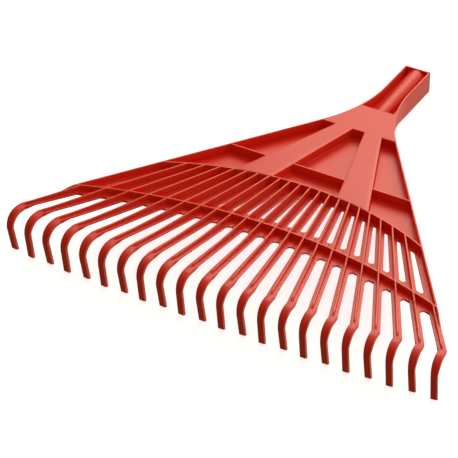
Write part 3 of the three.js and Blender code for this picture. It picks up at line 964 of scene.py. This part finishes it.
@dataclass
class Bays:
    """The three sunk panels behind the rear arc, each with one cross rib, and the side rails."""

    shop: Workshop
    spoke_inner: tuple[float, float] = (9.2 * MM, 0.257)
    spoke_outer: tuple[float, float] = (35.4 * MM, 0.39)
    rib_y: float = -114 * MM
    cove: float = 1.2 * MM
    mark_x: float = -1.5 * MM
    mark_y: float = -104 * MM
    mark_radius: float = 4 * MM
    mark_depth: float = 0.28 * MM
    fillet: float = 0.7 * MM
    shy: float = 0.4 * MM
    rib_drop: float = 0.03 * MM
    rail_drop: float = 0.02 * MM
    tuck: float = 1 * MM

    def inner(self, y: Array) -> Array:
        """Inner edge of the right spoke."""
        return self.spoke_inner[0] - self.spoke_inner[1] * np.asarray(y)

    def outer(self, y: Array) -> Array:
        """Outer edge of the right spoke."""
        return self.spoke_outer[0] - self.spoke_outer[1] * np.asarray(y)

    def grid(self, left: Callable, right: Callable, across: Array, along: Array) -> Array:
        """Plan grid between two straight edges, from y = 0 to the rear arc.

        Each column ends where its own share of the way across meets the arc, found by
        repeating y = arc(x(y)) until it settles.

        Args:
            left: x of the left edge at y.
            right: x of the right edge at y.
            across: Shares of the way across.
            along: Shares of the way from y = 0 to the arc.

        Returns:
            Plan points (len(along), len(across), 2).
        """
        end = np.full(len(across), self.shop.fan.rear.mid_y)
        for _ in range(8):
            x = left(end) + (right(end) - left(end)) * across
            end = self.shop.fan.rear.y(x)
        y = end[None, :] * along[:, None]
        x = left(y) + (right(y) - left(y)) * across[None, :]
        return np.stack([x, y], axis=-1)

    def floor(self, left: Callable, right: Callable, marked: bool, columns: int, rows: int) -> Skin:
        """A bay's floor: web height, coved up where it meets the walls.

        Within the cove's radius r of a wall, at distance d, the floor rises by
        r - sqrt(r^2 - (r - d)^2). An ejector pin's round mark is a shallow step down with a
        raised lip, drawn as two smooth steps of the distance from its centre.

        Args:
            left: x of the left wall at y.
            right: x of the right wall at y.
            marked: Whether the ejector mark is in this bay.
            columns: Grid columns.
            rows: Grid rows.

        Returns:
            The skin.
        """
        near = np.array([-0.002, 0.004, 0.012, 0.03])
        across = np.concatenate([near, np.linspace(0.05, 0.95, columns), 1 - near[::-1]])
        along = np.concatenate([near / 2, np.linspace(0.03, 0.985, rows), 1 - near[::-1] / 2])
        plan = self.grid(left, right, across, along)
        x, y = plan[..., 0], plan[..., 1]
        fan = self.shop.fan
        walls = np.stack([x - left(y), right(y) - x, -y, y - fan.rear.y(x) - fan.rib / 2])
        short = np.clip(1 - walls / self.cove, 0, 1)
        rise = self.cove * (1 - np.sqrt(1 - short**2)).max(axis=0) * 0.8
        top = fan.web_top(y) + rise
        if marked:
            away = np.hypot(x - self.mark_x, y - self.mark_y)
            lip = np.exp(-(((away - self.mark_radius) / (0.35 * MM)) ** 2))
            sunk = np.clip((self.mark_radius - away) / (0.4 * MM), 0, 1)
            top = top + self.mark_depth * (0.8 * lip - 0.6 * sunk)
        return slab(plan, top, fan.web_bottom(y), 0 * x)

    def cross_rib(self, left: float, right: float) -> Skin:
        """The straight rib across a bay."""
        x = np.linspace(left, right, 12)
        y = np.full(12, self.rib_y)
        fan = self.shop.fan
        path, low, high = np.stack([x, y], axis=1), fan.web_bottom(y) + self.shy, 0 * x - self.rib_drop
        return blade(path, low, high, fan.web_top(y), fan.rib, self.fillet)

    def rail(self, side: int) -> Skin:
        """A side rail from the neck to the rear arc."""
        fan = self.shop.fan
        splay = fan.rail_splay * side
        t = np.linspace(fan.apex / math.cos(splay), fan.reach(splay, fan.rear), 40)
        path = fan.on_line(splay, t)
        y = path[:, 1]
        high = 0 * y - self.rail_drop
        return blade(path, fan.web_bottom(y), high, fan.web_top(y), fan.rib, 0.0)

    def build(self) -> None:
        """Makes the bays and the rails."""
        shop, rail = self.shop, self.shop.fan.rail_x
        bays = (
            ("bay_centre", lambda y: -self.inner(y), self.inner, 90, 130, self.tuck),
            ("bay_right", self.outer, rail, 40, 60, 0.0),
            ("bay_left", lambda y: -rail(y), lambda y: -self.outer(y), 40, 60, self.tuck),
        )
        for node, left, right, columns, rows, right_tuck in bays:
            floor = self.floor(left, right, node == "bay_centre", columns, rows)
            rib = self.cross_rib(left(self.rib_y) - self.tuck, right(self.rib_y) + right_tuck)
            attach(shop.piece(f"{node}_panel", [floor, rib], shop.satin, node), "head")
        for name, side in SIDES:
            rail_piece = shop.piece(f"{name}_rail", [self.rail(side)], shop.smooth, f"side_rail_{name}")
            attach(rail_piece, "head")


@dataclass
class Spokes:
    """The two raised channels from the neck to the rear arc, open below."""

    shop: Workshop
    bays: Bays
    corner: float = 0.5 * MM
    sink_depth: float = 0.14 * MM
    sink_width: float = 1.3 * MM

    def channel(self, side: int) -> Skin:
        """An upside-down channel: out over the deck and back along its inside.

        The deck dips by depth * exp(-((y - rib) / width)^2) over the hidden cross rib.

        Args:
            side: 1 for the right spoke, -1 for the left.

        Returns:
            The skin.
        """
        fan, bays = self.shop.fan, self.bays
        sin, cos = arc_steps(4)
        dip = bays.rib_y + np.linspace(-3, 3, 15) * self.sink_width
        y0 = np.sort(np.concatenate([np.linspace(0, fan.rear.mid_y, 24), dip]))[::-1]
        along = y0 / fan.rear.mid_y
        plan = bays.grid(bays.inner, bays.outer, np.linspace(0, 1, 9), along)
        left, right = plan[:, 0], plan[:, -1]
        reach = (right - left)[:, None, :]
        width = np.linalg.norm(reach, axis=-1)
        web = fan.web_bottom(plan[:, :1, 1])
        edge = self.corner
        deck = np.linspace(0, 1, 7)[1:-1]
        shares = np.hstack([0 * width, (edge - edge * cos) / width, 0 * width + deck])
        shares = np.hstack([shares, 1 - (edge - edge * cos[::-1]) / width, 0 * width + 1])
        heights = np.hstack([web, -edge + edge * sin + 0 * width, 0 * width + 0 * deck])
        heights = np.hstack([heights, -edge + edge * sin[::-1] + 0 * width, web])
        inner_share = np.clip(shares, fan.rib / width, 1 - fan.rib / width)
        inner_height = np.minimum(heights, -fan.wall)
        outer_plan = left[:, None] + reach * shares[..., None]
        inner_plan = left[:, None] + reach * inner_share[..., None]
        sink = self.sink_depth * np.exp(-(((outer_plan[..., 1] - bays.rib_y) / self.sink_width) ** 2))
        heights = heights - sink * (heights > -edge / 2)
        top = np.concatenate([outer_plan, heights[..., None]], axis=-1)
        under = np.concatenate([inner_plan, inner_height[..., None]], axis=-1)[:, ::-1]
        # painted highlight along both rounded top edges of the deck
        highlight_share = np.zeros(top.shape[1])
        highlight_share[1:5] = (0.2, 0.8, 1.0, 0.7)
        highlight_share[-5:-1] = (0.7, 1.0, 0.8, 0.2)
        rings = np.concatenate([top, under], axis=1)
        if side < 0:
            rings = rings[:, ::-1] * np.array([-1.0, 1.0, 1.0])
            return Skin(rings, np.append(0 * highlight_share, highlight_share[::-1]), Cap.STRIP)
        return Skin(rings, np.append(highlight_share, 0 * highlight_share), Cap.STRIP)

    def build(self) -> None:
        """Makes both spokes."""
        shop = self.shop
        for name, side in SIDES:
            channel = [self.channel(side)]
            piece = shop.piece(f"{name}_spoke_channel", channel, shop.satin, f"spoke_{name}")
            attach(piece, "head")


@dataclass
class Socket:
    """The boxed socket: flaring side walls, ledges, tapered tube, mouth wall and neck plate."""

    shop: Workshop
    bays: Bays
    mouth_y: float = 182.5 * MM
    mouth_half: float = 19.6 * MM
    deep: float = 32 * MM
    flare_y: float = 118 * MM
    deep_from: float = 115 * MM
    shallow_to: float = 35 * MM
    neck_rear: float = 59.6 * MM
    tube_mouth: float = 15 * MM
    tube_end: float = 11.6 * MM
    bore_mouth: float = 12.5 * MM
    bore_end: float = 10 * MM
    around: int = 96

    @property
    def mount_point(self) -> tuple[float, float, float]:
        """The record's mount point on the mouth wall, in the head's flat frame."""
        return (14.5 * MM, self.mouth_y, -28 * MM)

    def flare(self, y: Array) -> tuple[Array, Array]:
        """Middle plane of the right wall: straight, then a circular arc that meets the rail.

        Returns:
            x of the wall and its angle from straight, at each y.
        """
        fan = self.shop.fan
        spread = float(fan.rail_x(0.0)) - (self.mouth_half - fan.rib / 2)
        radius = self.flare_y / math.sin(2 * math.atan2(spread, self.flare_y))
        angle = np.arcsin(np.clip((self.flare_y - np.asarray(y)) / radius, 0, 1))
        return self.mouth_half - fan.rib / 2 + radius * (1 - np.cos(angle)), angle

    def side_wall(self, side: int) -> list[Skin]:
        """A side wall with its ledge beside the tube."""
        fan = self.shop.fan
        straight = np.linspace(self.flare_y, self.mouth_y - 0.4 * MM, 14)[1:]
        y = np.concatenate([np.linspace(0, self.flare_y, 48), straight])
        x, _ = self.flare(y)
        share = ease((y - self.shallow_to) / (self.deep_from - self.shallow_to))
        low = fan.web_bottom(y) * (1 - share) - self.deep * share
        path = np.stack([side * x, y], axis=1)
        wall = blade(path, low, 0 * y - 0.01 * MM, low, fan.rib, 0.0)
        tube_x = self.tube_radius(y) - 0.5 * MM
        back = y > self.neck_rear - fan.wall
        across = np.linspace(0, 1, 6)
        inner, outer, at = tube_x[back], x[back], y[back]
        left, right = (inner, outer) if side > 0 else (-outer, -inner)
        plan_x = left[:, None] + (right - left)[:, None] * across
        plan = np.stack([plan_x, at[:, None] + 0 * plan_x], axis=-1)[::-1]
        ledge = slab(plan, fan.web_top(plan[..., 1]), fan.web_bottom(plan[..., 1]), 0 * plan[..., 0])
        return [wall, ledge]

    def tube_radius(self, y: Array) -> Array:
        """Outside radius of the tapered tube."""
        share = (np.asarray(y) - self.neck_rear) / (self.mouth_y - self.neck_rear)
        return self.tube_end + (self.tube_mouth - self.tube_end) * share

    def tube(self) -> Skin:
        """The tapered tube as a turned profile: closed inner end, bore open at the mouth."""
        fan = self.shop.fan
        end, floor, mouth = self.neck_rear, self.neck_rear + fan.wall, self.mouth_y - 0.2 * MM
        corner, hub = 1.5 * MM, 2 * MM
        out_y = np.linspace(end, mouth, 24)
        in_y = np.linspace(mouth, floor + corner, 24)
        bore = self.bore_end + (self.bore_mouth - self.bore_end) * (in_y - floor) / (mouth - floor)
        sin, cos = arc_steps(5)
        floor_r = bore[-1] - corner + corner * cos
        floor_y = floor + corner - corner * sin
        r = np.concatenate([[hub], self.tube_radius(out_y), bore, floor_r[1:], [hub]])
        y = np.concatenate([[end], out_y, in_y, floor_y[1:], [floor]])
        turn = np.linspace(0, 2 * math.pi, self.around, endpoint=False)
        x = r[:, None] * np.sin(turn)
        z = -self.deep / 2 + r[:, None] * np.cos(turn)
        rings = np.stack([x, y[:, None] + 0 * x, z], axis=-1)
        return Skin(rings[:, ::-1], np.zeros(rings.shape[:2]))

    def mouth_wall(self) -> Skin:
        """The mouth wall: a rounded rectangle with a round opening, as a ring of sections.

        At each angle the outline is the ray's meeting with the rectangle, and the section
        runs from the opening's lip over the outer face, round the edge and back inside.
        """
        fan = self.shop.fan
        turn = np.linspace(0, 2 * math.pi, self.around * 2, endpoint=False)
        sin, cos = np.sin(turn), np.cos(turn)
        far = 1 / np.maximum(np.abs(sin) / self.mouth_half, np.abs(cos) / (self.deep / 2))
        edge, lip = 0.5 * MM, 0.6 * MM
        back, front = self.mouth_y - fan.wall, self.mouth_y
        bore, ease_off = self.bore_mouth + 0 * far, 0.15 * edge
        inside = far - edge
        r = np.stack([bore, bore + lip, inside, far - ease_off, far, far, inside, bore], axis=1)
        outer_y = (front - lip, front, front, front - ease_off, front - edge)
        y = np.array([*outer_y, back + edge, back, back])
        x, z = r * sin[:, None], -self.deep / 2 + r * cos[:, None]
        rings = np.stack([x, y + 0 * x, z], axis=-1)
        # painted highlight round the outer edge of the mouth wall
        highlight_share = np.array([0.2, 0.1, 0.2, 0.8, 1.0, 0.8, 0.2, 0.0])
        return Skin(rings, np.broadcast_to(highlight_share, rings.shape[:2]), Cap.NONE)

    def neck(self) -> list[Skin]:
        """The neck plate and the walls below its free edges.

        The deck's edges drop by r - sqrt(r^2 - (r - d)^2) within r of the edge, except where
        the spokes carry the deck on.
        """
        fan, bays = self.shop.fan, self.bays
        r = 0.5 * MM
        near = r * np.array([0.0, 0.08, 0.3, 0.6, 1.0])
        between = np.linspace(3 * r, self.neck_rear - 3 * r, 24)
        y = np.concatenate([near, between, self.neck_rear - near[::-1]])
        half, _ = self.flare(y)
        inner, outer = bays.spoke_inner[0], bays.spoke_outer[0]
        step = 0.1 * MM
        marks = np.array([inner, inner + step, (inner + outer) / 2, outer - step, outer])
        spread = np.concatenate([[0, inner / 2], marks]) / self.flare(0.0)[0]
        share = np.concatenate([-spread[:0:-1], spread])
        share = np.concatenate([[-1.0, (share[0] - 1) / 2], share, [(1 + share[-1]) / 2, 1.0]])
        x = half[:, None] * share
        plan = np.stack([x, y[:, None] + 0 * x], axis=-1)
        start_x = np.abs(share) * self.flare(0.0)[0]
        on_spoke = (start_x > inner + step / 2) & (start_x < outer - step / 2)
        front = np.clip(1 - y[:, None] / r, 0, 1) * ~on_spoke
        rear = np.clip(1 - (self.neck_rear - y[:, None]) / r, 0, 1)
        drop = r * (2 - np.sqrt(1 - front**2) - np.sqrt(1 - rear**2))
        # painted highlight along the deck's rounded front and rear edges
        highlight_share = np.clip(front + rear, 0, 1)
        deck = slab(plan[::-1], -drop[::-1], -fan.wall + 0 * drop, highlight_share[::-1])
        back, rail = (float(self.flare(at)[0]) for at in (self.neck_rear, fan.wall))
        spans = ((-inner, inner), (outer, rail), (-rail, -outer))
        walls = [self.neck_wall(fan.wall / 2, *span) for span in spans]
        return [deck, self.neck_wall(self.neck_rear - fan.wall / 2, -back, back), *walls]

    def neck_wall(self, y: float, left: float, right: float) -> Skin:
        """An upright wall below the neck plate, from its web depth up into the deck."""
        fan = self.shop.fan
        x = np.linspace(left, right, 8)
        half = fan.wall / 2 - 0.01 * MM
        plan = np.stack(np.broadcast_arrays(x, np.array([[y + half], [y - half]])), axis=-1)
        top = np.full(plan.shape[:2], -fan.wall / 2)
        return slab(plan, top, fan.web_bottom(plan[..., 1]), 0 * top)

    def build(self) -> None:
        """Makes the socket and the neck."""
        shop = self.shop
        for name, side in SIDES:
            wall = self.side_wall(side)
            piece = shop.piece(f"{name}_socket_wall", wall, shop.satin, f"socket_side_{name}")
            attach(piece, "head")
        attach(shop.piece("handle_tube", [self.tube()], shop.satin, "socket_tube"), "head")
        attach(shop.piece("mouth_wall", [self.mouth_wall()], shop.satin, "socket_end_wall"), "head")
        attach(shop.piece("neck_deck", self.neck(), shop.satin, "neck_plate"), "head")


# ---------------------------------------------------------------- studio


@dataclass(frozen=True)
class Studio:
    """Camera, soft light and a plain pale floor."""

    camera_at: tuple[float, float, float] = (1.1957, -2.1780, 1.9646)
    azimuth: float = math.radians(31.529)
    elevation: float = math.radians(38.919)
    roll: float = math.radians(-2.461)
    lens: float = 184.84
    shift: tuple[float, float] = (-0.0070, -0.0048)
    front_glow: float = 0.22
    rear_glow: float = 1.0
    rear_side: tuple[float, float, float] = (0.42, 0.80, 0.30)
    floor_size: float = 14.0
    warm: tuple[float, float, float] = (1.0, 0.96, 0.80)
    front_tint: tuple[float, float, float] = (1.0, 0.66, 0.38)

    def camera(self) -> None:
        """Sets a long lens on the head from its right, looking down."""
        data = bpy.data.cameras.new("camera")
        data.lens, data.shift_x, data.shift_y = self.lens, *self.shift
        data.clip_end = 50
        thing = bpy.data.objects.new("camera", data)
        level = math.cos(self.elevation)
        across, along = -math.sin(self.azimuth) * level, math.cos(self.azimuth) * level
        ahead = Vector((across, along, -math.sin(self.elevation)))
        turn = ahead.to_track_quat("-Z", "Y").to_matrix() @ Matrix.Rotation(self.roll, 3, "Z")
        thing.matrix_world = Matrix.Translation(self.camera_at) @ turn.to_4x4()
        bpy.context.scene.collection.objects.link(thing)
        bpy.context.scene.camera = thing

    def softbox(self, name: str, at: tuple[float, float, float], size: float, watts: float) -> None:
        """A square softbox aimed at the head."""
        data = bpy.data.lights.new(name, "AREA")
        data.size, data.energy, data.color = size, watts, self.warm
        thing = bpy.data.objects.new(name, data)
        aim = (Vector((0, 0, 0)) - Vector(at)).to_track_quat("-Z", "Y")
        thing.matrix_world = Matrix.Translation(at) @ aim.to_matrix().to_4x4()
        bpy.context.scene.collection.objects.link(thing)

    def build(self, paper: bpy.types.Material) -> None:
        """Makes world, lights and floor."""
        scene = bpy.context.scene
        scene.view_settings.view_transform = "Standard"
        world = bpy.data.worlds.new("white_room")
        scene.world = world
        world.use_nodes = True
        bench = Bench("white_room", world.node_tree)
        ray = bench.node("ShaderNodeTexCoord", {}, {}, "Generated")
        dot, smooth = {"operation": "DOT_PRODUCT"}, {"interpolation_type": "SMOOTHSTEP"}
        toward = bench.node("ShaderNodeVectorMath", dot, {0: ray, 1: self.rear_side}, "Value")
        share = bench.node("ShaderNodeMapRange", smooth, {0: toward, 1: -0.3, 2: 0.9})
        strength = self.front_glow + share * (self.rear_glow - self.front_glow)
        tint = bench.mix(share, self.front_tint, self.warm)
        sky = bench.node("ShaderNodeBackground", {}, {"Color": tint, "Strength": strength})
        bench.node("ShaderNodeOutputWorld", {}, {"Surface": sky})
        self.softbox("overhead_softbox", (0.3, 0.4, 2.6), 2.2, 5.0)
        self.softbox("rear_softbox", (-0.3, 1.3, 1.05), 1.0, 10.5)
        half = self.floor_size / 2
        mesh = bpy.data.meshes.new("floor")
        corners = [(-half, -half, 0), (half, -half, 0), (half, half, 0), (-half, half, 0)]
        mesh.from_pydata(corners, [], [(0, 1, 2, 3)])
        mesh.materials.append(paper)
        floor = bpy.data.objects.new("floor", mesh)
        floor.visible_diffuse = False
        floor.visible_glossy = False
        scene.collection.objects.link(floor)


def main() -> None:
    """Builds the studio and the head in order."""
    logging.basicConfig(level=logging.INFO, format="%(name)s: %(message)s")
    studio = Studio()
    studio.camera()
    studio.build(StudioPaper().build())
    fan = Fan()
    satin = MouldedPolypropylene("red_satin_plastic").build()
    smooth = MouldedPolypropylene("red_smooth_plastic", roughness=0.35, grain=0.03, subsurface=0.16).build()
    mount = next(m for m in frame["record"]["mounts"] if m["name"] == "socket_mouth")
    shop = Workshop(fan, Lay(0.0, (0.0, 0.0, 0.0)), satin, smooth)
    bays = Bays(shop)
    socket = Socket(shop, bays)
    shop.lay = Lay.from_mount(mount, socket.mount_point)
    for line in range(1, fan.tines + 1):
        TineLine(shop, line).build()
    ArcRibs(shop).build()
    bays.build()
    Spokes(shop, bays).build()
    socket.build()
    log.info("%d pieces made", shop.made)


if __name__ == "__main__":
    main()
